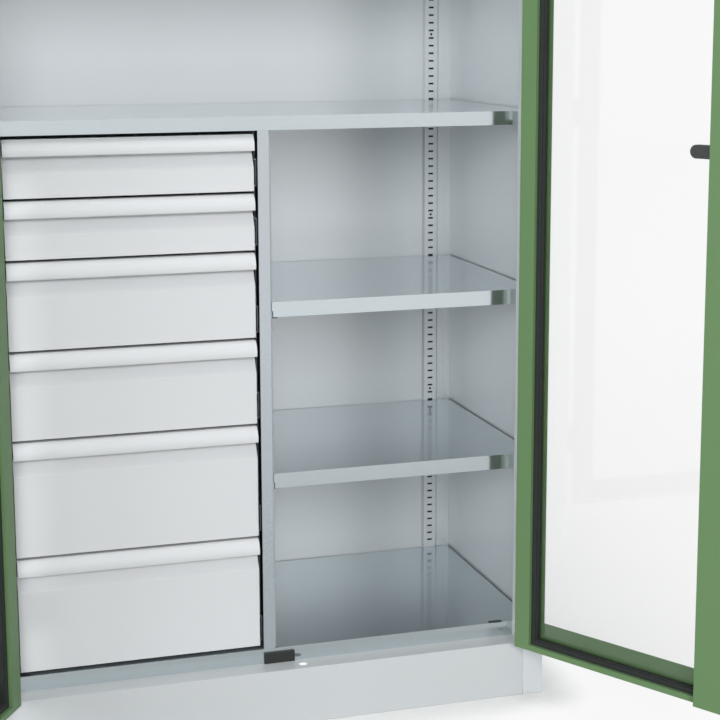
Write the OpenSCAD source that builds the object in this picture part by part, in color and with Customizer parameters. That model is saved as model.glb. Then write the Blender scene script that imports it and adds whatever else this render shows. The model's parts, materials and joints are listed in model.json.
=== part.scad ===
/* [Cabinet] */
// Width over the two side panels
cab_w = 1000; // [900:1:1200]
// Depth from the closed door fronts to the back of the back panel
cab_d = 500; // [460:1:650]
// Height from the floor to the top of the roof
cab_h = 1950; // [1850:1:2200]
// Thickness of the body's sheet steel
sheet = 1.2; // [0.8:0.1:2]
// Height of the front ledge above the floor
ledge_z = 100; // [70:1:160]
// Height of the header above the doors
head_h = 40; // [30:1:70]
// Width of each front post's face
post_w = 37; // [32:1:50]
// Depth of the posts, which is how far the shelf fronts stand back
post_d = 41; // [38:1:60]
// Width of the inward stop flange on each post
post_stop = 6; // [4:0.5:12]
// Width of the flanges along the rear corners
rear_flange = 13; // [10:1:18]
// Width of the flanges that stand on the floor
foot_flange = 25; // [18:1:40]
// Open seam between the plinth and the posts
seam = 0.7; // [0.2:0.1:1]

/* [Shelves] */
// Height of the floor shelf's front edge
floor_shelf_h = 26; // [20:1:35]
// Height of an adjustable shelf's front edge
shelf_h = 26; // [20:1:35]
// Height of the full-width shelf's front edge above the drawers
upper_shelf_h = 24; // [20:1:35]
// Width of the hem that is turned in under each shelf edge
shelf_hem = 14; // [8:1:20]
// Clearance between a shelf and the rails around it
shelf_clear = 0.4; // [0.2:0.1:1]
// Gap between a bay shelf's front edge and the partition
bay_shelf_gap = 2; // [1:0.1:4]
// Rail steps from the floor shelf to the lower bay shelf
bay_low_step = 21; // [12:1:26]
// Rail steps from the floor shelf to the higher bay shelf
bay_high_step = 41; // [32:1:48]
// Rail steps from the upper shelf to the next shelf above it
top_low_step = 20; // [12:1:24]
// Rail steps between the two topmost shelves
top_high_step = 19; // [12:1:22]
// Width of the lock slots in the floor shelf
lock_slot_w = 24; // [14:1:30]
// Depth of the lock slots in the floor shelf
lock_slot_d = 3; // [2:0.5:5]
// Distance of the outer lock slots from the cabinet's centre
lock_slot_x = 425.5; // [380:0.5:440]

/* [Slotted rails] */
// Width of a rail's flat face
rail_w = 25; // [20:1:32]
// Width of the bevel on each side of a rail
rail_bevel = 4.2; // [3:0.1:6]
// How far a rail stands out from the wall
rail_proud = 4; // [3:0.1:6]
// Distance from the outer side to the middle of a rear rail
rail_inset = 43.5; // [36:0.5:60]
// Distance from the shelf fronts to the middle of a side rail
side_rail_inset = 50; // [30:1:80]
// Vertical pitch of the slots
slot_pitch = 15; // [12:0.5:25]
// Width of a slot
slot_w = 10.4; // [6:0.1:14]
// Height of a slot
slot_h = 3.5; // [2.5:0.1:5]
// Height of the slot centres above each pitch line
slot_phase = 1; // [0:0.1:2]
// Diameter of the rails' fixing holes
rail_hole_d = 5; // [3:0.1:6]
// Slots from one fixing hole to the next
rail_hole_step = 24; // [8:1:40]

/* [Partition and drawer bay] */
// Thickness of the centre partition
part_w = 19.5; // [15:0.5:30]
// How far the partition stands back from the shelf fronts
part_set = 1; // [0.5:0.1:4]
// Gap beside each drawer front
side_gap = 5; // [4:0.5:8]
// Height of each of the two top drawers
small_h = 100; // [80:1:125]
// Height of each of the two middle drawers
medium_h = 150; // [120:1:180]
// Height of each of the two bottom drawers
large_h = 200; // [160:1:240]
// Gap between the lowest drawer front and the floor shelf
stack_gap = 4.3; // [3:0.1:8]
// Gap between one drawer front and the next
drawer_gap = 4.9; // [3:0.1:8]
// Distance from the shelf fronts back to the drawer faces
face_set = 8.5; // [8:0.5:14]

/* [Drawers] */
// Thickness of the drawer fronts' sheet
front_t = 1.5; // [1:0.1:2]
// Depth of a drawer front from its face to its rear edge
front_d = 20; // [17:0.5:30]
// Height of the rolled grip
grip_h = 27; // [22:0.5:32]
// How far the grip's lip stands out from the face
grip_out = 7.7; // [5:0.1:8]
// How far the grip's top edge stands back from the face
grip_back = 3.7; // [2:0.1:6]
// Radius of the grip's roll
grip_r = 24; // [18:0.5:40]
// How far the finger recess goes in behind the face
recess_d = 13; // [9:0.5:15]
// Height of the sloped band below the grip
band_h = 26; // [18:0.5:32]
// Height of the recess between the grip's lip and the band
lip_gap = 4; // [2:0.5:6]
// Thickness of the drawer trays' sheet
tray_t = 1; // [0.8:0.1:1.5]
// Length of a drawer tray
tray_l = 400; // [340:1:410]
// Height of a tray's floor above its front's lower edge
tray_rise = 12; // [8:0.5:16]
// Room above a tray's rim, below the front's upper edge
tray_clear = 18; // [14:0.5:30]

/* [Telescopic slides] */
// Thickness of a whole slide
slide_t = 12.7; // [11.5:0.1:16]
// Height of a slide's outer member
slide_h = 46; // [36:1:52]
// Height of a slide above the drawer front's lower edge
slide_rise = 8; // [6:0.5:20]
// Thickness of the slide members' steel
slide_wall = 1.4; // [1:0.1:1.6]
// Clearance between one member and the next
slide_clear = 0.6; // [0.3:0.1:0.8]
// Length of each slide member
slide_l = 390; // [330:1:400]
// How far the outer members' noses stand behind the drawer faces
nose_set = 3; // [2:0.5:10]
// How far a drawer travels out
drawer_travel = 370; // [300:1:380]

/* [Doors] */
// Thickness of a door
door_t = 22.5; // [18:0.5:28]
// Angle at which both doors stand open
open_angle = 120; // [95:1:130]
// Gap between the doors and the ledge and header
door_gap = 4; // [2:0.5:8]
// Gap between the two closed doors
meet_gap = 3; // [2:0.5:6]
// Gap between a door and its post
hinge_gap = 2; // [1:0.1:3]
// Border of the window on the hinge side, top and bottom
window_border = 49; // [44:1:70]
// Border of the window on the lock side
lock_border = 100; // [95:1:130]
// Width of the turned-in flange on the hinge side
hinge_flange = 31.3; // [26:0.1:34]
// Width of the turned-in flange along the top and the bottom
rim_flange = 10; // [8:0.5:16]
// Depth of the lip on the inside of the flanges
flange_lip = 6.8; // [5:0.1:9]
// Width of the black glazing profile
glaze_w = 10.8; // [8:0.1:13]
// Thickness of the window pane
pane_t = 4; // [3:0.1:6]
// How far the pane goes into the glazing profile
pane_bite = 5; // [3:0.1:7]
// Clearance around the pane
pane_clear = 0.2; // [0.1:0.1:0.4]
// Depth of the lock stile's closed box
stile_d = 36; // [32:0.5:37]
// Width of the strip that laps over the passive door
lap_w = 26; // [20:1:36]
// Thickness of the lap strip
lap_t = 2; // [1.5:0.1:3]

/* [Hinges] */
// Radius of the hinge knuckles
knuckle_r = 7; // [6:0.1:8]
// Distance from the door front out to the hinge axis
knuckle_out = 8.2; // [8.1:0.1:10]
// Distance from the door's edge to the hinge axis
knuckle_side = 0.8; // [0.4:0.1:1.6]
// Radius of the hinge pins
pin_r = 4; // [3:0.1:4.5]
// Radial clearance of the hinge pins
pin_clear = 0.05; // [0.02:0.01:0.1]
// Height of each half of a hinge
knuckle_h = 32; // [24:1:40]
// Gap between the two halves of a hinge
knuckle_gap = 0.3; // [0.2:0.1:0.6]
// Length of the hinge leaves
leaf_w = 24; // [18:1:28]
// Thickness of the hinge leaves
leaf_t = 2; // [1.5:0.1:3]
// Distance of the end hinges from the ends of the door
hinge_inset = 150; // [100:1:250]

/* [Lock] */
// Height of the handle's axis above the floor
handle_z = 1005; // [850:1:1150]
// Length of the handle's lever
lever_l = 115; // [90:1:130]
// Width of the lever
lever_w = 22; // [16:1:28]
// Thickness of the lever
lever_t = 9; // [7:0.5:14]
// Distance from the door's face to the lever
lever_out = 9; // [7:0.5:16]
// Radius of the handle's spindle
spindle_r = 5; // [4:0.1:6]
// Radial clearance of the spindle
spindle_clear = 0.05; // [0.02:0.01:0.1]
// Thickness of the cam on the spindle
cam_t = 4; // [3:0.1:5]
// Radius of the cam's two drive pins
cam_pin_r = 2; // [1.5:0.1:2.5]
// Thickness of the plates on the rods' ends
rod_plate_t = 3; // [2:0.1:3.5]
// Distance from the cabinet's centre to the lock rods
rod_x = 55; // [50:0.5:60]
// Distance from the door's face to the middle of the rods
rod_set = 20; // [17:0.5:21]
// Radius of the lock rods
rod_r = 5; // [4:0.1:5.5]
// Radial clearance of the rods in their guides
rod_clear = 0.05; // [0.02:0.01:0.1]
// Travel of each rod
rod_travel = 16; // [10:0.5:20]
// Diameter of the rod holes in the ledge and the header
rod_hole_d = 15; // [13:0.5:18]
// Height of a rod guide
guide_h = 20; // [14:1:30]
// Diameter of the small holes at the ends of the ledge
ledge_hole_d = 6; // [4:0.5:8]
// Distance from the post to a small ledge hole
ledge_hole_x = 16.5; // [12:0.5:24]
// Distance from the front to a small ledge hole
ledge_hole_y = 13; // [10:0.5:20]

/* [Stop pad] */
// Width of the black stop pad on the floor shelf's front
pad_w = 54; // [40:1:70]
// Height of the pad
pad_h = 19; // [12:0.5:20]
// Thickness of the pad
pad_t = 4.5; // [3:0.1:4.9]
// Distance from the cabinet's centre to the middle of the pad
pad_x = 17.4; // [0:0.1:30]

/* [Hidden] */

$fn = 48;
// Colours as the cabinet shows them
grey = "#d3d8db";
drawer_grey = "#dcdfe0";
zinc = "#b4bec2";
green = "#6e9163";
black = "#2c2f2e";
clear = [0.9, 0.94, 0.94, 0.35];
// Overlap that lets one cut run clear of a face
cut = 1;

// Planes of the body
half_w = cab_w / 2;
y_front = -cab_d / 2;
y_back = cab_d / 2;
wall_in = half_w - sheet;
back_in = y_back - sheet;
post_x = half_w - post_w;
head_z = cab_h - head_h;
roof_under = cab_h - sheet;
shelf_front = y_front + post_d;
shelf_back = back_in - rail_proud - shelf_clear;
shelf_x = wall_in - rail_proud - shelf_clear;
floor_z = ledge_z + floor_shelf_h;

// Drawer stack, numbered from the top
heights = [small_h, small_h, medium_h, medium_h, large_h, large_h];
function above(k) = k == 0 ? 0 : heights[k - 1] + above(k - 1);
stack_h = above(len(heights));
stack_top = floor_z + stack_gap + stack_h;
function drawer_z(k) = stack_top - above(k + 1);
upper_step = ceil((stack_gap + stack_h + upper_shelf_h) / slot_pitch);
function step_z(step) = floor_z + step * slot_pitch;
upper_z = step_z(upper_step);
upper_under = upper_z - upper_shelf_h;
bay_x = part_w / 2 + rail_proud + shelf_clear;

// Doors and their hinge axis, in the closed position of the right door
door_x = post_x - hinge_gap;
door_in = meet_gap / 2;
door_z0 = ledge_z + door_gap;
door_z1 = head_z - door_gap;
axis_x = door_x + knuckle_side;
axis_y = y_front - knuckle_out;
stile_w = lock_border - window_border + hinge_flange;
door_reach = axis_x - knuckle_out - door_t;
hinge_zs = [door_z0 + hinge_inset, (door_z0 + door_z1) / 2, door_z1 - hinge_inset];
seal_top = door_t - flange_lip;

// Drawer bay, which stays inside the swing of the open door
face_y = shelf_front + face_set;
drawer_x1 = -part_w / 2 - side_gap;
drawer_x0 = -door_reach + side_gap - 2;
bay_panel_x = drawer_x0 - side_gap;
part_front = shelf_front + part_set;
part_back = back_in - 0.3;
clip_l = 11;

// Lock
lock_x = door_in + stile_w / 2;
cam_back = rod_set + rod_r - 2;
plate_d = [cam_back + 0.5, cam_back + 0.5 + rod_plate_t];
// The cam's pins swing 45 degrees to each side of level, which gives the rods their travel
pin_reach = rod_travel / sqrt(2);
pin_near = pin_reach * cos(45);
cam_r = pin_reach + cam_pin_r + 2;
pin_play = 0.7;
rod_start = cam_r + 8;

module block(x, y, z) {
    translate([x[0], y[0], z[0]])
        cube([x[1] - x[0], y[1] - y[0], z[1] - z[0]]);
}

module mirrored() {
    mirror([1, 0, 0]) children();
}

module both_sides() {
    children();
    mirrored() children();
}

// Body

module side_panel() {
    block([wall_in, half_w], [y_front, y_back], [0, roof_under]);
    block([post_x, half_w], [y_front, y_front + sheet], [0, roof_under]);
    block([post_x, post_x + sheet], [y_front, shelf_front - shelf_clear], [0, roof_under]);
    block(
        [post_x - post_stop, post_x + sheet],
        [shelf_front - shelf_clear - sheet, shelf_front - shelf_clear],
        [ledge_z, head_z]
    );
    block([half_w - rear_flange, half_w], [back_in - sheet, back_in], [0, roof_under]);
    block([half_w - foot_flange, half_w], [shelf_front, back_in - sheet], [0, sheet]);
}

module right_side_panel() {
    color(grey) side_panel();
}

module left_side_panel() {
    color(grey) mirrored() side_panel();
}

module back_panel() {
    color(grey) block([-wall_in, wall_in], [back_in, y_back], [0, roof_under]);
}

module roof() {
    rim = 18;
    color(grey) {
        block([-half_w, half_w], [y_front, y_back], [roof_under, cab_h]);
        both_sides()
            block([wall_in - sheet, wall_in], [shelf_front, back_in - sheet], [roof_under - rim, roof_under]);
        block(
            [-half_w + rear_flange, half_w - rear_flange],
            [back_in - sheet, back_in],
            [roof_under - rim, roof_under]
        );
    }
}

// Folded front beam: a face, a ledge behind it and an edge flange, drawn upright as on the plinth
module front_beam(height, face_flange) {
    x = post_x - seam;
    ledge_d = post_d + foot_flange;
    difference() {
        union() {
            block([-x, x], [y_front, y_front + sheet], [0, height]);
            block([-x, x], [y_front, y_front + ledge_d], [height - sheet, height]);
            block([-x, x], [y_front, y_front + face_flange], [0, sheet]);
        }
        translate([rod_x, y_front + rod_set, height - sheet - cut])
            cylinder(d = rod_hole_d, h = sheet + 2 * cut);
        both_sides()
            translate([post_x - ledge_hole_x, y_front + ledge_hole_y, height - sheet - cut])
                cylinder(d = ledge_hole_d, h = sheet + 2 * cut);
    }
}

module base_front() {
    color(grey) front_beam(ledge_z, foot_flange);
}

module header() {
    color(grey)
        translate([0, 0, roof_under])
            mirror([0, 0, 1])
                front_beam(roof_under - head_z, foot_flange);
}

module base_rear() {
    x = half_w - rear_flange;
    color(grey) {
        block([-x, x], [back_in - sheet, back_in], [0, ledge_z]);
        block([-x, x], [back_in - foot_flange, back_in], [ledge_z - sheet, ledge_z]);
        block([-x + foot_flange, x - foot_flange], [back_in - foot_flange, back_in], [0, sheet]);
    }
}

// Angle along each side under the floor shelf, and a beam down the middle that stands on the floor
module base_braces() {
    y = [shelf_front + foot_flange + 1, back_in - foot_flange - 1];
    beam_y = [y_front + foot_flange + 1, back_in - foot_flange - 1];
    half = foot_flange / 2;
    color(grey) {
        both_sides() {
            block([wall_in - foot_flange, wall_in], y, [ledge_z - sheet, ledge_z]);
            block([wall_in - sheet, wall_in], y, [ledge_z - foot_flange, ledge_z]);
        }
        block([-half, half], beam_y, [0, sheet]);
        block([-sheet / 2, sheet / 2], beam_y, [0, ledge_z - sheet - 0.3]);
        block([-half, half], [y[0], beam_y[1]], [ledge_z - sheet, ledge_z]);
        block([-sheet / 2, sheet / 2], [y[0], beam_y[1]], [0, ledge_z]);
    }
}

// Shelves

// Folded tray turned upside down, with hems under its four edges
module folded_shelf(x, z_top, h) {
    y = [shelf_front, shelf_back];
    difference() {
        block(x, y, [z_top - h, z_top]);
        block(
            [x[0] + sheet, x[1] - sheet],
            [y[0] + sheet, y[1] - sheet],
            [z_top - h + sheet, z_top - sheet]
        );
        block(
            [x[0] + shelf_hem, x[1] - shelf_hem],
            [y[0] + shelf_hem, y[1] - shelf_hem],
            [z_top - h - cut, z_top - h + sheet + cut]
        );
    }
}

module lock_slot(x, w) {
    y = shelf_front + sheet + 0.8;
    block([x - w / 2, x + w / 2], [y, y + lock_slot_d], [floor_z - sheet - cut, floor_z + cut]);
}

module floor_shelf() {
    color(zinc)
        difference() {
            folded_shelf([-shelf_x, shelf_x], floor_z, floor_shelf_h);
            both_sides() lock_slot(lock_slot_x, lock_slot_w);
            both_sides() lock_slot(part_w / 2 + 2, lock_slot_w / 2);
        }
}

module upper_shelf() {
    color(zinc) folded_shelf([-shelf_x, shelf_x], upper_z, upper_shelf_h);
}

// Shelf of the bay, whose front edge reaches past the partition's rail above an open lower corner
module bay_shelf(step) {
    notch_h = shelf_h * 0.4;
    z = step_z(step);
    folded_shelf([bay_x, shelf_x], z, shelf_h);
    block(
        [part_w / 2 + bay_shelf_gap, bay_x + sheet],
        [shelf_front, shelf_front + sheet],
        [z - shelf_h + notch_h, z]
    );
}

module bay_shelf_low() {
    color(zinc) bay_shelf(bay_low_step);
}

module bay_shelf_high() {
    color(zinc) bay_shelf(bay_high_step);
}

module top_shelf_low() {
    color(zinc) folded_shelf([-shelf_x, shelf_x], step_z(upper_step + top_low_step), shelf_h);
}

module top_shelf_high() {
    color(zinc)
        folded_shelf([-shelf_x, shelf_x], step_z(upper_step + top_low_step + top_high_step), shelf_h);
}

module stop_pad() {
    color(black)
        block(
            [pad_x - pad_w / 2, pad_x + pad_w / 2],
            [shelf_front - pad_t, shelf_front],
            [ledge_z, ledge_z + pad_h]
        );
}

// Partition and drawer bay

// Upright box of folded sheet, open at its top and bottom. The wall at drawer_x starts behind the drawer fronts.
module upright(x, y_end, drawer_x) {
    z = [floor_z - cut, upper_under + cut];
    difference() {
        block(x, [part_front, y_end], [floor_z, upper_under]);
        block([x[0] + sheet, x[1] - sheet], [part_front + sheet, y_end - sheet], z);
        block([drawer_x - sheet - cut, drawer_x + sheet + cut], [part_front + sheet, face_y + front_d], z);
    }
}

module partition() {
    color(grey) upright([-part_w / 2, part_w / 2], part_back, -part_w / 2);
}

module drawer_bay_panel() {
    color(grey)
        upright([-(post_x - post_stop), bay_panel_x], back_in - rail_proud - clip_l - 1, bay_panel_x);
}

// Slotted rails

// Rail that stands on the plane y = 0 and faces -Y, from z = 0 to z = length
module slotted_rail(length, first_slot) {
    slots = floor((length - first_slot - slot_pitch / 2) / slot_pitch);
    half_flat = rail_w / 2;
    translate([0, -rail_proud + sheet, 0])
        rotate([90, 0, 0])
            linear_extrude(sheet)
                difference() {
                    translate([-half_flat, 0]) square([rail_w, length]);
                    for (i = [0:slots])
                        translate([-slot_w / 2, first_slot + i * slot_pitch - slot_h / 2])
                            square([slot_w, slot_h]);
                    for (i = [rail_hole_step - 2.5:rail_hole_step:slots])
                        translate([0, first_slot + i * slot_pitch]) circle(d = rail_hole_d);
                }
    both_sides()
        linear_extrude(length)
            polygon([
                [half_flat - sheet, -rail_proud + sheet],
                [half_flat, -rail_proud],
                [half_flat + rail_bevel, 0],
                [half_flat + rail_bevel - sheet, 0]
            ]);
}

module wall_rails() {
    length = head_z - floor_z;
    color(grey)
        both_sides() {
            translate([half_w - rail_inset, back_in, floor_z])
                slotted_rail(length, slot_pitch + slot_phase);
            translate([wall_in, shelf_front + side_rail_inset, floor_z])
                rotate([0, 0, -90])
                    slotted_rail(length, slot_pitch + slot_phase);
        }
}

partition_rail_ys = [
    part_front + sheet + rail_w / 2 + rail_bevel,
    part_back - rail_inset
];

module partition_rails() {
    color(grey)
        for (y = partition_rail_ys)
            translate([part_w / 2, y, floor_z])
                rotate([0, 0, 90])
                    slotted_rail(upper_under - floor_z, slot_pitch + slot_phase);
}

// Hook that hangs in a rail's slot at y = 0 and carries a shelf at height z
module shelf_clip(z) {
    step = floor((z - 2 - floor_z - slot_phase) / slot_pitch);
    tongue_z = step_z(step) + slot_phase;
    tongue_w = slot_w - 1;
    tongue_h = slot_h - 1;
    block([-tongue_w / 2, tongue_w / 2], [-clip_l, -0.3], [tongue_z - tongue_h / 2 - 0.2, z]);
    block(
        [-tongue_w / 2, tongue_w / 2],
        [-0.3, sheet + 1],
        [tongue_z - tongue_h / 2, tongue_z + tongue_h / 2]
    );
}

module wall_clips(step, h) {
    z = step_z(step) - h;
    translate([half_w - rail_inset, back_in - rail_proud, 0]) shelf_clip(z);
    translate([wall_in - rail_proud, shelf_front + side_rail_inset, 0])
        rotate([0, 0, -90])
            shelf_clip(z);
}

module shelf_clips() {
    color("silver") {
        for (step = [bay_low_step, bay_high_step]) {
            wall_clips(step, shelf_h);
            for (y = partition_rail_ys)
                translate([part_w / 2 + rail_proud, y, 0])
                    rotate([0, 0, 90])
                        shelf_clip(step_z(step) - shelf_h);
        }
        for (step = [upper_step + top_low_step, upper_step + top_low_step + top_high_step])
            both_sides() wall_clips(step, shelf_h);
        both_sides() wall_clips(upper_step, upper_shelf_h);
    }
}

// Drawers

// Centre of the circle of radius grip_r through the grip's lip and its top edge
grip_run = grip_out + grip_back;
grip_chord = norm([grip_run, grip_h]);
grip_drop = sqrt(grip_r * grip_r - grip_chord * grip_chord / 4);
function grip_centre(top) = [
    (grip_back - grip_out) / 2 + grip_drop * grip_h / grip_chord,
    top - grip_h / 2 - grip_drop * grip_run / grip_chord
];

// Rolled grip between its lip and its top edge
module grip_roll(top, filled) {
    c = grip_centre(top);
    intersection() {
        translate(c)
            difference() {
                circle(r = grip_r, $fn = 96);
                if (!filled) circle(r = grip_r - front_t, $fn = 96);
            }
        translate([-grip_out - grip_r, top - grip_h])
            square([grip_out + grip_r + grip_back, grip_h]);
    }
}

// Height of the face's upper fold and of the finger recess
function fold_z(top) = top - grip_h - lip_gap - band_h;
function recess_z(top) = top - grip_h - lip_gap;

// Folded sheet of a drawer front, seen from its end: y runs back and z runs up
module front_sheet(top) {
    t = front_t;
    grip_roll(top, false);
    translate([grip_back - t / 2, top - t]) square([front_d - grip_back + t / 2, t]);
    translate([recess_d, recess_z(top)]) square([t, top - recess_z(top)]);
    polygon([
        [0, fold_z(top)],
        [recess_d, recess_z(top)],
        [recess_d + t, recess_z(top)],
        [t, fold_z(top)]
    ]);
    square([t, fold_z(top)]);
    square([front_d, t]);
}

// Outline of the cheek that closes each end of a drawer front
module front_cheek(top) {
    grip_roll(top, true);
    polygon([
        [0, 0],
        [front_d, 0],
        [front_d, top],
        [grip_back - front_t / 2, top],
        [grip_back - front_t / 2, top - grip_h + front_t],
        [recess_d, top - grip_h],
        [recess_d, recess_z(top)],
        [0, fold_z(top)]
    ]);
}

// Extrudes a y-z outline along X
module along_x(x0, length) {
    translate([x0, face_y, 0])
        rotate([90, 0, 90])
            linear_extrude(length)
                children();
}

module drawer_front(k) {
    top = heights[k] - drawer_gap;
    color(drawer_grey)
        translate([0, 0, drawer_z(k)]) {
            along_x(drawer_x0, drawer_x1 - drawer_x0) front_sheet(top);
            for (x = [drawer_x0, drawer_x1 - front_t])
                along_x(x, front_t) front_cheek(top);
        }
}

module drawer_tray(k) {
    x = [bay_panel_x + slide_t, -part_w / 2 - slide_t];
    y0 = face_y + recess_d + front_t;
    y = [y0, y0 + tray_l];
    z = [tray_rise, heights[k] - tray_clear];
    color(drawer_grey)
        translate([0, 0, drawer_z(k)])
            difference() {
                block(x, y, z);
                block(
                    [x[0] + tray_t, x[1] - tray_t],
                    [y[0] + tray_t, y[1] - tray_t],
                    [z[0] + tray_t, z[1] + cut]
                );
            }
}

// Section of a slide member: x runs from the carrier towards the drawer, z is the height
module channel(x0, x1, h, web_near) {
    web = web_near ? x0 : x1 - slide_wall;
    translate([web, -h / 2]) square([slide_wall, h]);
    for (z = [-h / 2, h / 2 - slide_wall])
        translate([x0, z]) square([x1 - x0, slide_wall]);
}

// Extrudes a section on each side of drawer k, from y0 to y1 behind the drawer front
module slide_pair(k, y0, y1) {
    z = drawer_z(k) + slide_rise + slide_h / 2;
    for (side = [0, 1])
        translate([side == 0 ? bay_panel_x : -part_w / 2, face_y + front_d + y1, z])
            mirror([side, 0, 0])
                rotate([90, 0, 0])
                    linear_extrude(y1 - y0)
                        children();
}

outer_x = slide_t * 0.45;
middle_h = slide_h - 2 * slide_wall - 2 * slide_clear;
inner_h = middle_h - 2 * slide_wall - 2 * slide_clear;
middle_x0 = slide_wall + slide_clear;
middle_x1 = middle_x0 + slide_t * 0.45;
inner_x0 = middle_x0 + slide_wall + slide_clear;
tab_back = slide_wall + slide_clear;
// The outer members reach forward beside the drawer fronts with a shallow nose
nose_x = side_gap - 1;

module slide_outers() {
    color("gainsboro")
        for (k = [0:5]) {
            slide_pair(k, tab_back, slide_l) channel(0, outer_x, slide_h, true);
            slide_pair(k, nose_set - front_d, tab_back + 1) channel(0, nose_x, slide_h, true);
        }
}

module slide_middle(k) {
    color("silver")
        slide_pair(k, tab_back, slide_l) channel(middle_x0, middle_x1, middle_h, true);
}

// Inner members, each with the tab that closes its front end
module drawer_slides(k) {
    color("gainsboro") {
        slide_pair(k, 0, slide_l) channel(inner_x0, slide_t, inner_h, false);
        slide_pair(k, 0, slide_wall)
            translate([nose_x + slide_clear, -slide_h / 2])
                square([slide_t - nose_x - slide_clear, slide_h]);
    }
}

// Doors, drawn closed on the right and then swung open

module on_right_door() {
    translate([axis_x, axis_y, 0])
        rotate([0, 0, open_angle])
            translate([-axis_x, -axis_y, 0])
                children();
}

module on_left_door() {
    mirrored() on_right_door() children();
}

// Block given by its depth behind the closed door's face
module door_block(x, d, z) {
    block(x, [y_front + d[0], y_front + d[1]], z);
}

window_x = [door_in + lock_border, door_x - window_border];
window_z = [door_z0 + window_border, door_z1 - window_border];
inner_x = [door_in + stile_w, door_x - hinge_flange];
inner_z = [door_z0 + rim_flange, door_z1 - rim_flange];

module door_skin() {
    difference() {
        door_block([door_in, door_x], [0, sheet], [door_z0, door_z1]);
        door_block(window_x, [-cut, sheet + cut], window_z);
    }
}

// Rim of the door: edges all round, flanges turned in and lips turned back
module door_rim() {
    z = [door_z0, door_z1];
    flat = [door_t - sheet, door_t];
    lip = [seal_top, door_t];
    door_block([door_x - sheet, door_x], [0, door_t], z);
    door_block([inner_x[1], door_x], flat, z);
    door_block([inner_x[1], inner_x[1] + sheet], lip, z);
    door_block([door_in, door_x], [0, door_t], [z[0], z[0] + sheet]);
    door_block([inner_x[0], door_x], flat, [z[0], inner_z[0]]);
    door_block([inner_x[0], inner_x[1]], lip, [inner_z[0] - sheet, inner_z[0]]);
    door_block([door_in, door_x], [0, door_t], [z[1] - sheet, z[1]]);
    door_block([inner_x[0], door_x], flat, [inner_z[1], z[1]]);
    door_block([inner_x[0], inner_x[1]], lip, [inner_z[1], inner_z[1] + sheet]);
}

// Closed box of the lock stile
module door_stile() {
    z = [door_z0, door_z1];
    door_block([door_in, door_in + sheet], [0, stile_d], z);
    door_block([inner_x[0] - sheet, inner_x[0]], [0, stile_d], z);
    door_block([door_in, inner_x[0]], [stile_d - sheet, stile_d], z);
    for (end = [z[0], z[1] - sheet])
        door_block([door_in, inner_x[0]], [0, stile_d], [end, end + sheet]);
}

module door_frame() {
    difference() {
        union() {
            door_skin();
            door_rim();
            door_stile();
        }
        children();
    }
}

// Holes of the lock in the right door
module lock_holes() {
    for (z = [door_z0, door_z1])
        translate([rod_x, y_front + rod_set, z - 2 * sheet])
            cylinder(r = rod_r + 1, h = 4 * sheet);
    translate([lock_x, y_front + sheet + cut, handle_z])
        rotate([90, 0, 0])
            cylinder(r = spindle_r + spindle_clear, h = sheet + 2 * cut);
}

module lap_strip() {
    z = [door_z0 + 2, door_z1 - 2];
    door_block([door_in, door_in + lap_w / 2], [-lap_t, 0], z);
    door_block([-lap_w / 2, door_in], [-lap_t, -0.4], z);
}

module right_door_frame() {
    color(green)
        on_right_door() {
            door_frame() lock_holes();
            lap_strip();
        }
}

module left_door_frame() {
    color(green) on_left_door() door_frame();
}

// Block over the pane's outline, grown by c all round, between two depths
module pane_block(c, d) {
    bite = glaze_w - pane_bite;
    door_block(
        [inner_x[0] + bite - c, inner_x[1] - bite + c],
        d,
        [inner_z[0] + bite - c, inner_z[1] - bite + c]
    );
}

module door_pane() {
    color(clear) pane_block(0, [sheet + pane_clear, sheet + pane_clear + pane_t]);
}

// Frame-shaped profile between two depths
module seal_ring(w, d) {
    difference() {
        door_block(inner_x, d, inner_z);
        door_block(
            [inner_x[0] + w, inner_x[1] - w],
            [d[0] - cut, d[1] + cut],
            [inner_z[0] + w, inner_z[1] - w]
        );
    }
}

// Black profile with a raised outer step, which holds the pane's edge against the skin
module door_seal() {
    bead = 2;
    color(black)
        difference() {
            union() {
                seal_ring(glaze_w, [sheet, seal_top - bead]);
                seal_ring(glaze_w - bead, [seal_top - bead, seal_top]);
            }
            pane_block(pane_clear, [sheet - cut, sheet + pane_t + 2 * pane_clear]);
        }
}

module right_door_pane() {
    on_right_door() door_pane();
}

module left_door_pane() {
    on_left_door() door_pane();
}

module right_door_seal() {
    on_right_door() door_seal();
}

module left_door_seal() {
    on_left_door() door_seal();
}

// Hinges

// Leaf that joins a knuckle to a flat face at y_front, towards +X when side is 1
module hinge_leaf(side) {
    x0 = side > 0 ? post_x + 1 : door_x - 1 - leaf_w;
    block([x0, x0 + leaf_w], [y_front - leaf_t, y_front], [0, knuckle_h]);
    x1 = side > 0 ? [axis_x, x0 + leaf_t] : [x0 + leaf_w - leaf_t, axis_x];
    block(x1, [axis_y - knuckle_r, axis_y - knuckle_r + leaf_t], [0, knuckle_h]);
    x2 = side > 0 ? [x0, x0 + leaf_t] : [x0 + leaf_w - leaf_t, x0 + leaf_w];
    block(x2, [axis_y - knuckle_r, y_front], [0, knuckle_h]);
}

// Lower half, fixed to the post, with its pin standing up
module hinge_post() {
    translate([axis_x, axis_y, 0]) {
        cylinder(r = knuckle_r, h = knuckle_h);
        cylinder(r = pin_r, h = 2 * knuckle_h - 2);
    }
    hinge_leaf(1);
}

// Upper half, fixed to the door, with its bore
module hinge_sleeve() {
    difference() {
        union() {
            translate([axis_x, axis_y, 0]) cylinder(r = knuckle_r, h = knuckle_h);
            hinge_leaf(-1);
        }
        translate([axis_x, axis_y, -cut])
            cylinder(r = pin_r + pin_clear, h = knuckle_h + 2 * cut);
    }
}

module hinge_posts() {
    color(green)
        both_sides()
            for (z = hinge_zs)
                translate([0, 0, z - knuckle_h]) hinge_post();
}

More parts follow.
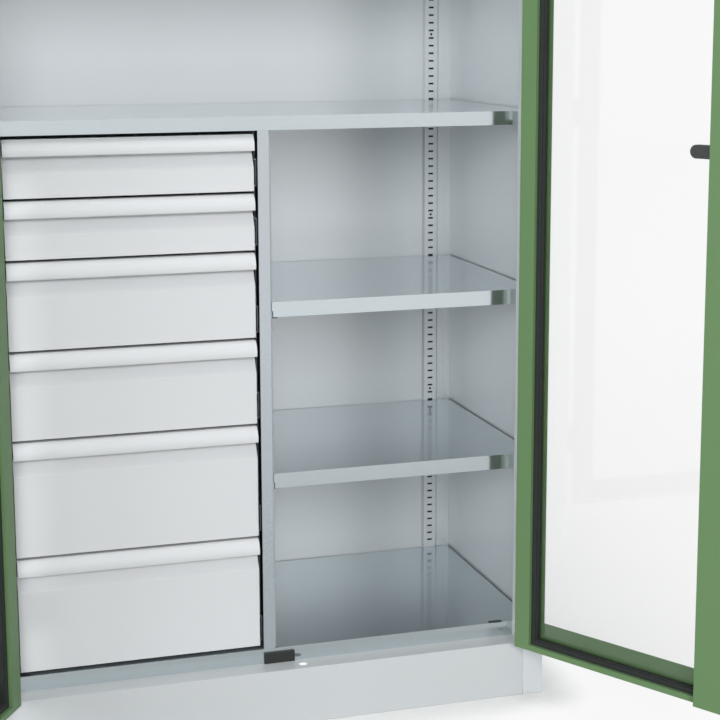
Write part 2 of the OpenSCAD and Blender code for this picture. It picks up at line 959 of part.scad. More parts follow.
module door_hinges() {
    color(green)
        for (z = hinge_zs)
            translate([0, 0, z + knuckle_gap]) hinge_sleeve();
}

module right_door_hinges() {
    on_right_door() door_hinges();
}

module left_door_hinges() {
    on_left_door() door_hinges();
}

// Lock of the right door

// Places children on the handle's axis, with +Z pointing out of the door's face
module on_lock_axis() {
    on_right_door()
        translate([lock_x, y_front, handle_z])
            rotate([90, 0, 0])
                children();
}

// Rounded bar from the origin to a point along -X or down
module rounded_bar(w, l) {
    circle(d = w);
    translate([l - w, 0]) circle(d = w);
    translate([0, -w / 2]) square([l - w, w]);
}

module lock_plate() {
    plate_w = 38;
    plate_l = 150;
    color(black)
        on_lock_axis()
            difference() {
                linear_extrude(3)
                    translate([0, plate_w / 2 - plate_l + plate_l / 3])
                        rotate(90)
                            rounded_bar(plate_w, plate_l);
                translate([0, 0, -cut])
                    cylinder(r = spindle_r + spindle_clear, h = 3 + 2 * cut);
            }
}

module lock_handle() {
    hub_r = lever_w / 2 + 2;
    color(black)
        on_lock_axis() {
            translate([0, 0, -cam_back])
                cylinder(r = spindle_r, h = cam_back + lever_out);
            translate([0, 0, 3.3]) cylinder(r = hub_r, h = lever_out - 3.3);
            translate([0, 0, lever_out])
                linear_extrude(lever_t)
                    rounded_bar(lever_w, lever_l);
        }
}

// Disc on the spindle's end, with a drive pin for each rod
module lock_cam() {
    color("silver")
        on_lock_axis() {
            translate([0, 0, -cam_back])
                difference() {
                    cylinder(r = cam_r, h = cam_t);
                    translate([0, 0, -cut]) cylinder(r = spindle_r, h = cam_t + 2 * cut);
                }
            for (s = [-1, 1])
                translate([s * pin_near, s * pin_near, -plate_d[1] - 1])
                    cylinder(r = cam_pin_r, h = rod_plate_t + 1.5 + cam_t / 2);
        }
}

module rod_guides() {
    zs = [door_z0 + 30, handle_z - 90, handle_z + 70, door_z1 - 30 - guide_h];
    color(black)
        on_right_door()
            for (z = zs)
                difference() {
                    door_block(
                        [rod_x - 2 * rod_r, rod_x + 2 * rod_r],
                        [sheet, stile_d - sheet],
                        [z, z + guide_h]
                    );
                    translate([rod_x, y_front + rod_set, z - cut])
                        cylinder(r = rod_r + rod_clear, h = guide_h + 2 * cut);
                }
}

// Slot in a rod's plate for the pin on one side of the spindle, which stands level with z
module pin_slot(side, z) {
    r = cam_pin_r + pin_play;
    x = [lock_x + side * pin_near, lock_x + side * pin_reach];
    door_block(
        [min(x) - r, max(x) + r],
        [plate_d[0] - cut, plate_d[1] + cut],
        [z - r, z + r]
    );
}

module rod_lower() {
    edge = 3;
    z_pin = handle_z + pin_near;
    half_slot = cam_pin_r + pin_play + edge;
    color("silver")
        on_right_door() {
            translate([rod_x, y_front + rod_set, door_z0 + 2])
                cylinder(r = rod_r, h = handle_z - rod_start - door_z0 - 2);
            difference() {
                door_block(
                    [lock_x + pin_near - half_slot, rod_x + rod_r],
                    plate_d,
                    [handle_z - rod_start - 20, z_pin + half_slot]
                );
                pin_slot(1, z_pin);
            }
        }
}

module rod_upper() {
    edge = 3;
    z_pin = handle_z - pin_near;
    half_slot = cam_pin_r + pin_play + edge;
    x0 = lock_x - pin_reach - half_slot;
    z_arm = handle_z + pin_near + half_slot + 1;
    color("silver")
        on_right_door() {
            translate([rod_x, y_front + rod_set, handle_z + rod_start])
                cylinder(r = rod_r, h = door_z1 - 2 - handle_z - rod_start);
            difference() {
                union() {
                    door_block([x0, lock_x - pin_near + half_slot], plate_d, [z_pin - half_slot, z_arm + 10]);
                    door_block([x0, rod_x + rod_r], plate_d, [z_arm, handle_z + rod_start + 20]);
                }
                pin_slot(-1, z_pin);
            }
        }
}

module drawer_1_front() { drawer_front(0); }
module drawer_2_front() { drawer_front(1); }
module drawer_3_front() { drawer_front(2); }
module drawer_4_front() { drawer_front(3); }
module drawer_5_front() { drawer_front(4); }
module drawer_6_front() { drawer_front(5); }
module drawer_1_tray() { drawer_tray(0); }
module drawer_2_tray() { drawer_tray(1); }
module drawer_3_tray() { drawer_tray(2); }
module drawer_4_tray() { drawer_tray(3); }
module drawer_5_tray() { drawer_tray(4); }
module drawer_6_tray() { drawer_tray(5); }
module drawer_1_slides() { drawer_slides(0); }
module drawer_2_slides() { drawer_slides(1); }
module drawer_3_slides() { drawer_slides(2); }
module drawer_4_slides() { drawer_slides(3); }
module drawer_5_slides() { drawer_slides(4); }
module drawer_6_slides() { drawer_slides(5); }
module slide_middle_1() { slide_middle(0); }
module slide_middle_2() { slide_middle(1); }
module slide_middle_3() { slide_middle(2); }
module slide_middle_4() { slide_middle(3); }
module slide_middle_5() { slide_middle(4); }
module slide_middle_6() { slide_middle(5); }

left_side_panel();
right_side_panel();
back_panel();
roof();
header();
base_front();
base_rear();
base_braces();
floor_shelf();
stop_pad();
partition();
drawer_bay_panel();
wall_rails();
partition_rails();
upper_shelf();
bay_shelf_low();
bay_shelf_high();
top_shelf_low();
top_shelf_high();
shelf_clips();
slide_outers();
hinge_posts();
right_door_frame();
right_door_pane();
right_door_seal();
right_door_hinges();
left_door_frame();
left_door_pane();
left_door_seal();
left_door_hinges();
lock_plate();
rod_guides();
lock_handle();
lock_cam();
rod_lower();
rod_upper();
drawer_1_front();
drawer_2_front();
drawer_3_front();
drawer_4_front();
drawer_5_front();
drawer_6_front();
drawer_1_tray();
drawer_2_tray();
drawer_3_tray();
drawer_4_tray();
drawer_5_tray();
drawer_6_tray();
drawer_1_slides();
drawer_2_slides();
drawer_3_slides();
drawer_4_slides();
drawer_5_slides();
drawer_6_slides();
slide_middle_1();
slide_middle_2();
slide_middle_3();
slide_middle_4();
slide_middle_5();
slide_middle_6();
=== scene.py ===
"""A steel cabinet with see-through doors, drawers, shelves and a rod lock, dressed and lit."""
import json
import math

import bmesh
import bpy
from mathutils import Matrix, Vector


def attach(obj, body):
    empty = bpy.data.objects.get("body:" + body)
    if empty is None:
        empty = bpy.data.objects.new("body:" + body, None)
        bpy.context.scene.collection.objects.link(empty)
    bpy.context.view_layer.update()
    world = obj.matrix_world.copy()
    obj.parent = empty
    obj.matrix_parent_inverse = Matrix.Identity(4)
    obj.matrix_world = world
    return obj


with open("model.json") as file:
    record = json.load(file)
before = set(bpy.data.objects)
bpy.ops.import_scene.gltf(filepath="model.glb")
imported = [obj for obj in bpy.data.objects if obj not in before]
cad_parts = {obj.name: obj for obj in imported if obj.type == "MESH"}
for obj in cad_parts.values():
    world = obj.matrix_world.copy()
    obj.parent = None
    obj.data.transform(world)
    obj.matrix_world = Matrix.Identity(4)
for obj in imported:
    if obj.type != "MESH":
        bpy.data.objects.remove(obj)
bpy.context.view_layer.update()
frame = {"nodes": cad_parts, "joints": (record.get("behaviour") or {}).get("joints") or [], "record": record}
MM = 0.001
QUARTER_TURN = math.pi / 2
JOINTS = {joint["name"]: joint for joint in frame["joints"]}


# Shader maths

class Signal:
    """A socket among shader nodes. Arithmetic on it adds Math nodes."""

    def __init__(self, shading, socket):
        self.shading = shading
        self.socket = socket

    def maths(self, operation, *values):
        sockets = dict(enumerate(values))
        return self.shading.node("ShaderNodeMath", {"operation": operation}, sockets)

    def __add__(self, other):
        return self.maths("ADD", self, other)

    def __radd__(self, other):
        return self.maths("ADD", other, self)

    def __sub__(self, other):
        return self.maths("SUBTRACT", self, other)

    def __rsub__(self, other):
        return self.maths("SUBTRACT", other, self)

    def __mul__(self, other):
        return self.maths("MULTIPLY", self, other)

    def __rmul__(self, other):
        return self.maths("MULTIPLY", other, self)

    def at_least(self, other):
        return self.maths("MAXIMUM", self, other)

    def ramp(self, low, high):
        """0 below low, 1 above high, smooth between."""
        settings = {"interpolation_type": "SMOOTHSTEP"}
        sockets = {"Value": self, "From Min": low, "From Max": high}
        return self.shading.node("ShaderNodeMapRange", settings, sockets)


class Shading:
    """The shader nodes of a material or of the world."""

    def __init__(self, owner, output):
        owner.use_nodes = True
        self.tree = owner.node_tree
        self.tree.nodes.clear()
        self.surface = self.tree.nodes.new(output).inputs["Surface"]

    def node(self, kind, settings=None, inputs=None, output=0):
        """Adds a node, its settings first, then the values or links of its sockets."""
        made = self.tree.nodes.new(kind)
        for key, value in (settings or {}).items():
            setattr(made, key, value)
        for key, value in (inputs or {}).items():
            self.feed(made.inputs[key], value)
        return Signal(self, made.outputs[output])

    def feed(self, socket, value):
        if isinstance(value, Signal):
            self.tree.links.new(value.socket, socket)
        else:
            socket.default_value = value

    def seen_directly(self, *rays):
        """1 for rays that show a thing itself: from the camera, or of the named kinds."""
        total = self.node("ShaderNodeLightPath", output="Is Camera Ray")
        for ray in rays:
            total = total.at_least(self.node("ShaderNodeLightPath", output=ray))
        return total

    def show_mixed(self, shader, other, share):
        """Shows a shader, and another one by a share from 0 to 1."""
        mixed = self.node("ShaderNodeMixShader", None, {0: share, 1: shader, 2: other})
        self.feed(self.surface, mixed)


class Finish(Shading):
    """A material with one Principled shader. Fixed values sit on the shader's own sockets."""

    def __init__(self, name, **fixed):
        self.material = bpy.data.materials.new(name)
        super().__init__(self.material, "ShaderNodeOutputMaterial")
        self.shader = self.node("ShaderNodeBsdfPrincipled")
        self.feed(self.surface, self.shader)
        self.give(**fixed)

    def give(self, **values):
        sockets = self.shader.socket.node.inputs
        for key, value in values.items():
            self.feed(sockets[key.replace("_", " ")], value)

    def place(self):
        return self.node("ShaderNodeTexCoord", output="Object")

    def vectors(self, operation, first, second=None, output=0):
        """Vector arithmetic on one vector or two."""
        sockets = {0: first} if second is None else {0: first, 1: second}
        return self.node("ShaderNodeVectorMath", {"operation": operation}, sockets, output)

    def noise(self, scale, octaves, coarse=0.5, where=None):
        """Noise from 0 to 1, in object coordinates or in those given."""
        where = where or self.place()
        sockets = {"Vector": where, "Scale": scale, "Detail": octaves, "Roughness": coarse}
        return self.node("ShaderNodeTexNoise", None, sockets)

    def streaks(self, x, y, z):
        """Noise with a scale of its own along each axis."""
        where = self.vectors("MULTIPLY", self.place(), (x, y, z))
        return self.noise(scale=1.0, octaves=3.0, coarse=0.6, where=where)

    def blend(self, low, high, share):
        """A colour between two, by a share from 0 to 1."""
        sockets = {0: share, 6: low, 7: high}
        return self.node("ShaderNodeMix", {"data_type": "RGBA"}, sockets, output=2)

    def tones(self, shade, darkest, lightest, share):
        """A shade between its darkest and its lightest tone, by a share from 0 to 1."""
        return self.blend(colour(shade, darkest), colour(shade, lightest), share)

    def relief(self, height, depth, strength, rim):
        """A fine relief on edges rolled over by a radius, as folded and moulded pieces have."""
        rolled_over = self.node("ShaderNodeBevel", {"samples": 4}, {"Radius": rim})
        sockets = {
            "Height": height, "Distance": depth, "Strength": strength, "Normal": rolled_over
        }
        return self.node("ShaderNodeBump", None, sockets)


def swing(noise, width):
    """Noise turned into a swing to both sides of nothing."""
    return (noise - 0.5) * width


def colour(text, gain=1.0):
    """A colour written as web digits, turned into the renderer's own linear values."""
    parts = [int(text[i:i + 2], 16) / 255 for i in (0, 2, 4)]
    linear = [((c + 0.055) / 1.055) ** 2.4 if c > 0.04045 else c / 12.92 for c in parts]
    return (*[c * gain for c in linear], 1.0)


def grey(level):
    return (level, level, level, 1.0)


# Finishes

def powder_coat(name, shade, rough, metal=0.0):
    """Baked powder paint: an even satin with a fine orange peel and a slow drift of tone."""
    f = Finish(name, Specular_IOR_Level=0.5, Metallic=metal)
    drift = f.noise(scale=2.3, octaves=3.0)
    peel = f.noise(scale=620.0, octaves=2.0, coarse=0.55)
    speck = f.noise(scale=2400.0, octaves=1.0)
    share = 0.5 + swing(drift, 0.7) + swing(speck, 0.4)
    f.give(
        Base_Color=f.tones(shade, 0.955, 1.035, share),
        Roughness=rough + swing(drift, 0.08) + swing(peel, 0.10 - 0.08 * metal),
        Normal=f.relief(peel, 0.03 * MM, strength=0.35 - 0.25 * metal, rim=0.5 * MM),
    )
    return f.material


def galvanised(name, shade, rough, metal):
    """Hot-dip coated sheet: a bright skin of zinc with faint flat crystals and rolling lines."""
    f = Finish(name, Metallic=metal)
    cells = {"Vector": f.place(), "Scale": 95.0}
    crystal = f.node("ShaderNodeTexVoronoi", None, cells, output="Color")
    fleck = f.node("ShaderNodeSeparateColor", None, {0: crystal})
    rolled = f.streaks(3.0, 260.0, 260.0)
    cloud = f.noise(scale=5.0, octaves=3.0)
    share = 0.5 + swing(fleck, 0.12) + swing(rolled, 0.35) + swing(cloud, 0.3)
    f.give(
        Base_Color=f.tones(shade, 0.94, 1.05, share),
        Roughness=rough + swing(fleck, 0.01) + swing(rolled, 0.05) + swing(cloud, 0.03),
        Normal=f.relief(rolled + fleck * 0.2, 0.003 * MM, strength=0.2, rim=0.3 * MM),
    )
    return f.material


def plated(name, shade, rough):
    """Zinc-plated steel: bright, with fine lines along the piece."""
    f = Finish(name, Metallic=1.0)
    lines = f.streaks(900.0, 20.0, 900.0)
    cloud = f.noise(scale=14.0, octaves=3.0)
    f.give(
        Base_Color=f.tones(shade, 0.9, 1.06, 0.5 + swing(lines, 0.8)),
        Roughness=rough + swing(lines, 0.14) + swing(cloud, 0.1),
        Normal=f.relief(lines, 0.01 * MM, strength=0.4, rim=0.4 * MM),
    )
    return f.material


def rubber(name, shade, rough):
    """Extruded sealing profile: dull black with a faint bloom and a fine grain."""
    f = Finish(name, Specular_IOR_Level=0.4)
    bloom = f.noise(scale=60.0, octaves=4.0, coarse=0.6)
    grain = f.noise(scale=1500.0, octaves=2.0)
    f.give(
        Base_Color=f.tones(shade, 0.85, 1.25, bloom),
        Roughness=rough + swing(bloom, 0.18),
        Normal=f.relief(grain, 0.04 * MM, strength=0.3, rim=0.8 * MM),
    )
    return f.material


def moulded(name, shade, rough):
    """Moulded black plastic with a fine spark texture."""
    f = Finish(name, Specular_IOR_Level=0.5)
    spark = f.noise(scale=1900.0, octaves=3.0, coarse=0.6)
    wear = f.noise(scale=22.0, octaves=3.0)
    f.give(
        Base_Color=f.tones(shade, 0.9, 1.3, wear),
        Roughness=rough + swing(wear, 0.15) + swing(spark, 0.1),
        Normal=f.relief(spark, 0.05 * MM, strength=0.4, rim=1.2 * MM),
    )
    return f.material


def clear_sheet(name):
    """Clear pane: it lets most light through and mirrors more towards grazing angles."""
    f = Finish(name, Metallic=1.0)
    haze = f.noise(scale=9.0, octaves=3.0)
    glance = f.node("ShaderNodeFresnel", None, {"IOR": 1.49})
    f.give(
        Base_Color=f.blend((0.50, 0.54, 0.52, 1), (0.58, 0.61, 0.60, 1), haze),
        Roughness=0.02 + haze * 0.03,
        Alpha=0.03 + glance * 0.6,
    )
    f.material.surface_render_method = "BLENDED"
    return f.material


FINISHES = {
    "grey_paint": powder_coat("cabinet_silver_grey_powder_coat", "E9EEF1", 0.30, metal=0.42),
    "drawer_paint": powder_coat("drawer_light_grey_powder_coat", "D6D8DA", 0.38),
    "green_paint": powder_coat("door_green_powder_coat", "65855A", 0.40),
    "zinc": galvanised("galvanised_shelf_sheet", "D0D9DD", 0.12, metal=0.92),
    "steel": plated("zinc_plated_steel", "C8CCCE", 0.30),
    "rubber": rubber("black_rubber", "2B2E2D", 0.50),
    "black_plastic": moulded("black_moulded_plastic", "232525", 0.42),
    "pane": clear_sheet("clear_pane_sheet"),
}
plinth_paint = powder_coat("plinth_light_grey_powder_coat", "CBCFD1", 0.36, metal=0.1)
partition_skin = powder_coat("partition_silver_grey_powder_coat", "C6CED4", 0.28, metal=0.8)
# The nodes whose look differs from the rest of their slot.
NODE_FINISHES = {
    "base_front": plinth_paint,
    "base_rear": plinth_paint,
    "header": plinth_paint,
    "partition": partition_skin,
    "drawer_bay_panel": partition_skin,
    # The shelf clips are drawn dark, in the black plastic finish.
    "shelf_clips": FINISHES["black_plastic"],
}
for part in frame["record"]["subparts"]:
    slots = frame["nodes"][part["node"]].data.materials
    slots.clear()
    slots.append(NODE_FINISHES.get(part["node"], FINISHES[part["material_slot"]]))


# Building mesh. Lengths are in millimetres.

def linked(name, data):
    made = bpy.data.objects.new(name, data)
    bpy.context.scene.collection.objects.link(made)
    return made


def fitted(name, bm, body, slot):
    """Turns built mesh into a piece that rides on a body and wears the finish of a slot."""
    bmesh.ops.recalc_face_normals(bm, faces=bm.faces)
    mesh = bpy.data.meshes.new(name)
    bm.to_mesh(mesh)
    bm.free()
    mesh.materials.append(FINISHES[slot])
    made = linked(name, mesh)
    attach(made, body)


def at(x, y, z):
    return Matrix.Translation(Vector((x, y, z)) * MM)


def turned(angle, axis):
    return Matrix.Rotation(angle, 4, axis)


def outward(x, y, z):
    """A place on a face that looks to the front, with its own +Z pointing out of that face."""
    return at(x, y, z) @ turned(QUARTER_TURN, "X")


def door_as_it_stands(door):
    """Turns places on a closed door into places on the same door standing open."""
    hinge = JOINTS[door + "_hinge"]
    pivot = Vector(hinge["pos_m"])
    opened = turned(-math.radians(hinge["range_deg"][0]), Vector(hinge["axis"]))
    return Matrix.Translation(pivot) @ opened @ Matrix.Translation(-pivot)


def circle(radius, count):
    angles = [math.tau * i / count for i in range(count)]
    return [(radius * math.cos(a), radius * math.sin(a)) for a in angles]


def corners(bm, place, outline, height):
    """The corners of an outline in a place's own X and Y, at a height above it."""
    return [bm.verts.new(place @ (Vector((x, y, height)) * MM)) for x, y in outline]


def skin(bm, low, high):
    """Faces between two loops of as many corners."""
    for i, corner in enumerate(low):
        j = (i + 1) % len(low)
        bm.faces.new((corner, low[j], high[j], high[i]))


def hoop_edges(bm, loop):
    """The edges around a loop of corners, made where there are none."""
    edges = []
    for corner, after in zip(loop, loop[1:] + loop[:1]):
        edges.append(bm.edges.get((corner, after)) or bm.edges.new((corner, after)))
    return edges


def lathed(bm, place, profile, count):
    """Rings for a profile of radii and heights, skinned. Gives back the last ring."""
    rings = [corners(bm, place, circle(radius, count), height) for radius, height in profile]
    for low, high in zip(rings, rings[1:]):
        skin(bm, low, high)
    return rings[-1]


def recess(bm, place, rim, outline, top, floor):
    """A flat face inside a rim, with a pocket of an outline sunk into it."""
    upper = corners(bm, place, outline, top)
    lower = corners(bm, place, outline, floor)
    skin(bm, lower, upper)
    bm.faces.new(lower)
    edges = hoop_edges(bm, rim) + hoop_edges(bm, upper)
    bmesh.ops.triangle_fill(bm, use_beauty=True, edges=edges)


def extruded(bm, place, outline, length):
    """A closed outline in a place's own X and Y, drawn out along its +Z."""
    low = corners(bm, place, outline, 0.0)
    high = corners(bm, place, outline, length)
    skin(bm, low, high)
    bm.faces.new(low)
    bm.faces.new(high)


# Small pieces. Places are those of the cabinet with its doors closed.

# Screws and hinges
SCREW_RADIUS = 3.6
SCREW_HEIGHT = 1.5
SCREW_SIDES = 28
HINGE_HEIGHTS = (254.0, 1005.0, 1756.0)
LEAF_FACE_Y = -252.0
POST_LEAF_X = 477.0
POST_SCREW_DROPS = (8.0, 24.0)
DOOR_LEAF_X = 447.0
DOOR_SCREW_LIFTS = (8.3, 24.3)

# Lock
LOCK_X = 42.65
LOCK_Z = JOINTS["handle_turn"]["pos_m"][2] / MM
HUB_FACE_Y = -266.0
LOCK_PLATE_FACE_Y = -253.0
LOCK_PLATE_SCREWS_Z = (1042.5, 915.5)
COLLAR = [(9.8, 0.0), (9.8, 1.0), (9.2, 1.6), (8.2, 1.8)]
CORE_TOP = 2.5
CORE = [(8.0, 1.1), (7.5, 1.1), (7.3, 2.2), (6.6, CORE_TOP)]
CORE_SIDES = 40
KEYWAY_FLOOR = 0.2
KEYWAY = [(-0.9, -4.2), (0.9, -4.2), (0.9, -0.6), (0.5, 0.2),
          (0.9, 1.0), (0.9, 4.2), (-0.9, 4.2), (-0.9, 0.0)]

# Dark strips behind the rails' slots: painted shade for the hollows behind them
SLOT_SHADE_STRIP = [(-10.5, -1.4), (-9.5, -1.4), (-9.0, -0.6), (9.0, -0.6),
         (9.5, -1.4), (10.5, -1.4), (10.5, -0.2), (-10.5, -0.2)]
SLOT_SHADE_FOOT_Z = 128.0
WALL_SLOT_SHADE_LENGTH = 1780.0
BAY_SLOT_SHADE_LENGTH = 903.0
BACK_RAIL_X = 456.5
BACK_SLOT_SHADE_Y = 248.8
SIDE_RAIL_Y = -159.0
SIDE_SLOT_SHADE_X = 498.8
PARTITION_SLOT_SHADE_X = 9.75
PARTITION_RAILS_Y = (-190.1, 205.0)

# Slots of the floor shelf, with black pieces on and under them as painted shade
LOCK_SLOT_X = 425.5
LOCK_SLOT_SHADE_PLATE = [(-12.5, 0.0), (12.5, 0.0), (12.5, 0.5), (11.6, 0.9), (-11.6, 0.9), (-12.5, 0.5)]
LOCK_SLOT_SHADE_FRONT_Y = -200.4
LOCK_SLOT_SHADE_WIDTH = 8.2
FLOOR_SHELF_TOP_Z = 126.0
UNDER_SLOT_SHADE = [(-0.5, -2.2), (-0.5, 2.2), (0.3, 2.0), (0.3, -2.0)]
UNDER_SLOT_SHADE_Y = -205.5
UNDER_SLOT_SHADE_Z = 124.2
LOCK_UNDER_SHADE_HALF = 13.5
PARTITION_SLOT_X = 11.75
PARTITION_UNDER_SHADE_HALF = 7.5


def cross_screw(bm, place):
    """Pan head with a crowned rim and a cross recess."""
    crown = [(1.0, 0.0), (1.0, 0.4), (0.93, 0.75), (0.78, 0.95), (0.66, 1.0)]
    profile = [(SCREW_RADIUS * radius, SCREW_HEIGHT * height) for radius, height in crown]
    rim = lathed(bm, place, profile, SCREW_SIDES)
    a, b = SCREW_RADIUS * 0.14, SCREW_RADIUS * 0.52
    cross = [(b, -a), (b, a), (a, a), (a, b), (-a, b), (-a, a),
             (-b, a), (-b, -a), (-a, -a), (-a, -b), (a, -b), (a, -a)]
    recess(bm, place, rim, cross, SCREW_HEIGHT, SCREW_HEIGHT * 0.35)


def hinge_screws():
    """Two screws in each hinge leaf, on the posts and on the doors."""
    bm = bmesh.new()
    for side in (-1, 1):
        for z in HINGE_HEIGHTS:
            for drop in POST_SCREW_DROPS:
                cross_screw(bm, outward(side * POST_LEAF_X, LEAF_FACE_Y, z - drop))
    fitted("post_hinge_screws", bm, "carcass", "steel")
    for side, door in ((-1, "left_door"), (1, "right_door")):
        bm = bmesh.new()
        opened = door_as_it_stands(door)
        for z in HINGE_HEIGHTS:
            for lift in DOOR_SCREW_LIFTS:
                place = outward(side * DOOR_LEAF_X, LEAF_FACE_Y, z + lift)
                cross_screw(bm, opened @ place)
        fitted(door + "_hinge_screws", bm, door, "steel")


def lock_fittings():
    """Key cylinder with a stepped collar in the handle's hub, and the lock plate's screws."""
    opened = door_as_it_stands("right_door")
    bm = bmesh.new()
    place = opened @ outward(LOCK_X, HUB_FACE_Y, LOCK_Z)
    rim = lathed(bm, place, COLLAR + CORE, CORE_SIDES)
    recess(bm, place, rim, KEYWAY, CORE_TOP, KEYWAY_FLOOR)
    fitted("lock_key_cylinder", bm, "handle", "steel")
    bm = bmesh.new()
    for z in LOCK_PLATE_SCREWS_Z:
        cross_screw(bm, opened @ outward(LOCK_X, LOCK_PLATE_FACE_Y, z))
    fitted("lock_plate_screws", bm, "right_door", "steel")


def rail_slot_painted_shade():
    """Dark strips inside the slotted rails, seen only through their slots and holes: painted shade for the
    dark hollows behind the slots.
    """
    bm = bmesh.new()
    for side in (-1, 1):
        back = at(side * BACK_RAIL_X, BACK_SLOT_SHADE_Y, SLOT_SHADE_FOOT_Z)
        flank = at(side * SIDE_SLOT_SHADE_X, SIDE_RAIL_Y, SLOT_SHADE_FOOT_Z)
        extruded(bm, back, SLOT_SHADE_STRIP, WALL_SLOT_SHADE_LENGTH)
        extruded(bm, flank @ turned(-QUARTER_TURN * side, "Z"), SLOT_SHADE_STRIP, WALL_SLOT_SHADE_LENGTH)
    fitted("wall_rail_slot_painted_shade", bm, "carcass", "black_plastic")
    bm = bmesh.new()
    for y in PARTITION_RAILS_Y:
        place = at(PARTITION_SLOT_SHADE_X, y, SLOT_SHADE_FOOT_Z) @ turned(QUARTER_TURN, "Z")
        extruded(bm, place, SLOT_SHADE_STRIP, BAY_SLOT_SHADE_LENGTH)
    fitted("partition_rail_slot_painted_shade", bm, "carcass", "black_plastic")


def slot_painted_shade_plates():
    """Black plates with sloped rims over the floor shelf's two lock slots: painted shade for the dark below
    the slots.
    """
    bm = bmesh.new()
    for x in (-LOCK_SLOT_X, LOCK_SLOT_X):
        place = outward(x, LOCK_SLOT_SHADE_FRONT_Y, FLOOR_SHELF_TOP_Z)
        extruded(bm, place, LOCK_SLOT_SHADE_PLATE, LOCK_SLOT_SHADE_WIDTH)
    fitted("floor_shelf_slot_painted_shade_plates", bm, "carcass", "black_plastic")


def slot_painted_shade_below():
    """Thin black strips under the floor shelf, behind its slots: painted shade for the dark seen through the
    slots.
    """
    bm = bmesh.new()
    for x, half in (
        (-LOCK_SLOT_X, LOCK_UNDER_SHADE_HALF),
        (-PARTITION_SLOT_X, PARTITION_UNDER_SHADE_HALF),
        (PARTITION_SLOT_X, PARTITION_UNDER_SHADE_HALF),
        (LOCK_SLOT_X, LOCK_UNDER_SHADE_HALF),
    ):
        place = at(x - half, UNDER_SLOT_SHADE_Y, UNDER_SLOT_SHADE_Z) @ turned(QUARTER_TURN, "Y")
        extruded(bm, place, UNDER_SLOT_SHADE, half * 2)
    fitted("floor_shelf_slot_painted_shade_below", bm, "carcass", "rubber")


hinge_screws()
lock_fittings()
rail_slot_painted_shade()
slot_painted_shade_plates()
slot_painted_shade_below()


# Studio. Places and sizes are in metres, powers in watts, angles in degrees.

FLOOR_RADIUS = 14.0
FLOOR_DROP = 0.4 * MM
PALE_FLOOR = (grey(0.84), grey(0.88))
MIRRORED_FLOOR = grey(0.60)
DIM_FLOOR = grey(0.45)
HALF_WIDTH = 0.5
HALF_DEPTH = 0.25
SHADOW_CORE = 0.1
SHADOW_END = 0.9
CORE_FADE = 0.82
MIRRORED_FROM = 0.5
MIRRORED_TO = 3.5
MIRRORED_WHITE = 0.75
HOLE_RIM = (0.005, 0.02)
SKY_TINT = (0.96, 0.985, 1.0, 1.0)
SKY_STRENGTH = 0.30
SKY_MIRRORED = 0.88
ABOUT_MIDDLE = (0.0, 0.0, 0.9)
PHOTO_SIDE = 720.0
SENSOR_WIDTH = 36.0


def lay_floor():
    """A pale floor that keeps the object's shadow and turns into the white background outwards."""
    mesh = bpy.data.meshes.new("studio_floor")
    bm = bmesh.new()
    bmesh.ops.create_circle(bm, cap_ends=True, radius=FLOOR_RADIUS, segments=64)
    bm.to_mesh(mesh)
    bm.free()
    floor = linked("studio_floor", mesh)
    floor.location.z = -FLOOR_DROP
    f = Finish("studio_floor_paint", Roughness=0.9, Specular_IOR_Level=0.1)
    seen = f.seen_directly("Is Transmission Ray")
    shown = f.seen_directly("Is Transmission Ray", "Is Glossy Ray")
    pale = f.blend(*PALE_FLOOR, f.noise(scale=40.0, octaves=2.0))
    bounced = f.blend(DIM_FLOOR, MIRRORED_FLOOR, shown)
    f.give(Base_Color=f.blend(bounced, pale, seen))
    # How far a place lies outside the cabinet's footprint. Its height never counts.
    footprint = (HALF_WIDTH, HALF_DEPTH, FLOOR_RADIUS)
    apart = f.vectors("SUBTRACT", f.vectors("ABSOLUTE", f.place()), footprint)
    away = f.vectors("LENGTH", f.vectors("MAXIMUM", apart, (0, 0, 0)), output="Value")
    apart_x, apart_y = (f.node("ShaderNodeSeparateXYZ", None, {0: apart}, axis) for axis in "XY")
    within = (0.0 - apart_x.at_least(apart_y)).ramp(*HOLE_RIM)
    past_core = away.ramp(0.0, SHADOW_CORE) * CORE_FADE
    past_shadow = away.ramp(SHADOW_CORE, SHADOW_END) * (1.0 - CORE_FADE)
    mirrored = away.ramp(MIRRORED_FROM, MIRRORED_TO) * (shown - seen) * MIRRORED_WHITE
    share = (past_core + past_shadow) * seen + mirrored + within * shown
    f.show_mixed(f.shader, f.node("ShaderNodeEmission"), share)
    mesh.materials.append(f.material)


def light_world():
    """Pale surroundings: white where they are seen, a little softer in mirrors, soft as light."""
    world = bpy.data.worlds.new("studio_world")
    bpy.context.scene.world = world
    sky = Shading(world, "ShaderNodeOutputWorld")
    soft_light = {"Color": SKY_TINT, "Strength": SKY_STRENGTH}
    soft = sky.node("ShaderNodeBackground", None, soft_light)
    white = sky.node("ShaderNodeBackground", None, {"Color": grey(1.0)})
    clear = sky.seen_directly("Is Transmission Ray")
    shown = sky.seen_directly("Is Transmission Ray", "Is Glossy Ray")
    sky.show_mixed(soft, white, clear + (shown - clear) * SKY_MIRRORED)


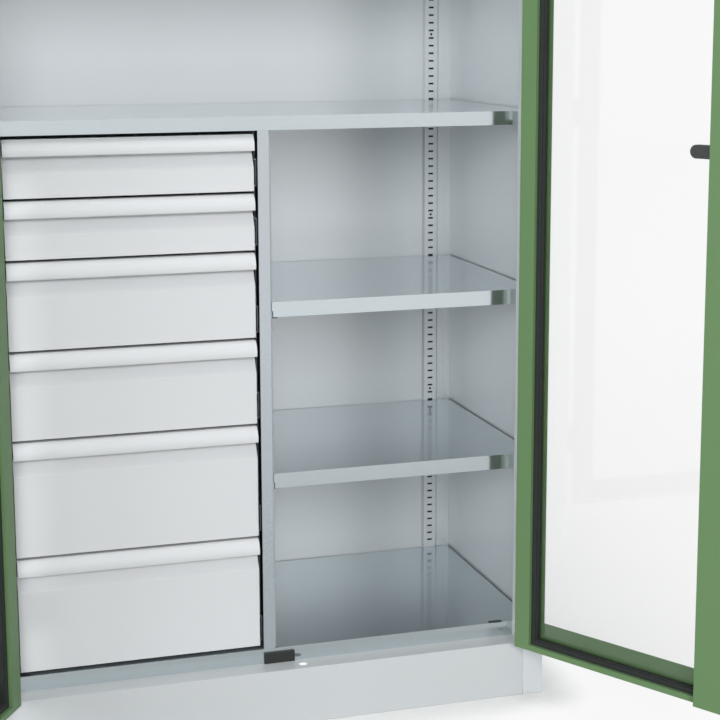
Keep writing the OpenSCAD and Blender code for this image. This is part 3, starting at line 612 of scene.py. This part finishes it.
def soft_lamp(name, place, target, size, power):
    lamp = bpy.data.lights.new(name, "AREA")
    lamp.shape = "RECTANGLE"
    lamp.size, lamp.size_y = size
    lamp.energy = power
    made = linked(name, lamp)
    made.location = place
    made.rotation_euler = (Vector(target) - Vector(place)).to_track_quat("-Z", "Y").to_euler()
    made.visible_camera = False
    made.visible_glossy = False


def aim_camera(place, yaw, tip, roll, focal, shift_y):
    """A camera turned from +Y towards +X, tipped down and rolled. The focal length is in pixels."""
    data = bpy.data.cameras.new("photo_camera")
    data.sensor_width = SENSOR_WIDTH
    data.lens = focal * SENSOR_WIDTH / PHOTO_SIDE
    data.shift_y = shift_y
    data.clip_end = 100.0
    camera = linked("photo_camera", data)
    y, p, r = (math.radians(v) for v in (yaw, tip, roll))
    ahead = Vector((math.sin(y) * math.cos(p), math.cos(y) * math.cos(p), -math.sin(p)))
    level = Vector((math.cos(y), -math.sin(y), 0.0))
    upright = level.cross(ahead)
    right = level * math.cos(r) + upright * math.sin(r)
    up = upright * math.cos(r) - level * math.sin(r)
    turn = Matrix((right, up, -ahead)).transposed()
    camera.matrix_world = Matrix.Translation(Vector(place)) @ turn.to_4x4()
    bpy.context.scene.camera = camera


lay_floor()
light_world()
soft_lamp("front_lamp", (-0.8, -8.0, 3.1), ABOUT_MIDDLE, size=(3.2, 2.6), power=378.0)
soft_lamp("left_lamp", (-6.4, -5.4, 1.9), (0.2, 0.0, 0.9), size=(3.0, 2.6), power=275.0)
soft_lamp("top_lamp", (0.0, -1.2, 5.0), (0.0, -0.2, 0.0), size=(2.6, 2.0), power=60.0)
soft_lamp("back_left_lamp", (-4.2, 3.4, 2.6), ABOUT_MIDDLE, size=(3.0, 2.4), power=110.0)
soft_lamp("back_right_lamp", (4.2, 3.4, 2.6), ABOUT_MIDDLE, size=(3.0, 2.4), power=110.0)
aim_camera(
    (-0.656, -2.906, 1.214), yaw=16.988, tip=9.190, roll=-0.187, focal=1660.0, shift_y=-0.10
)
bpy.context.scene.view_settings.view_transform = "Standard"
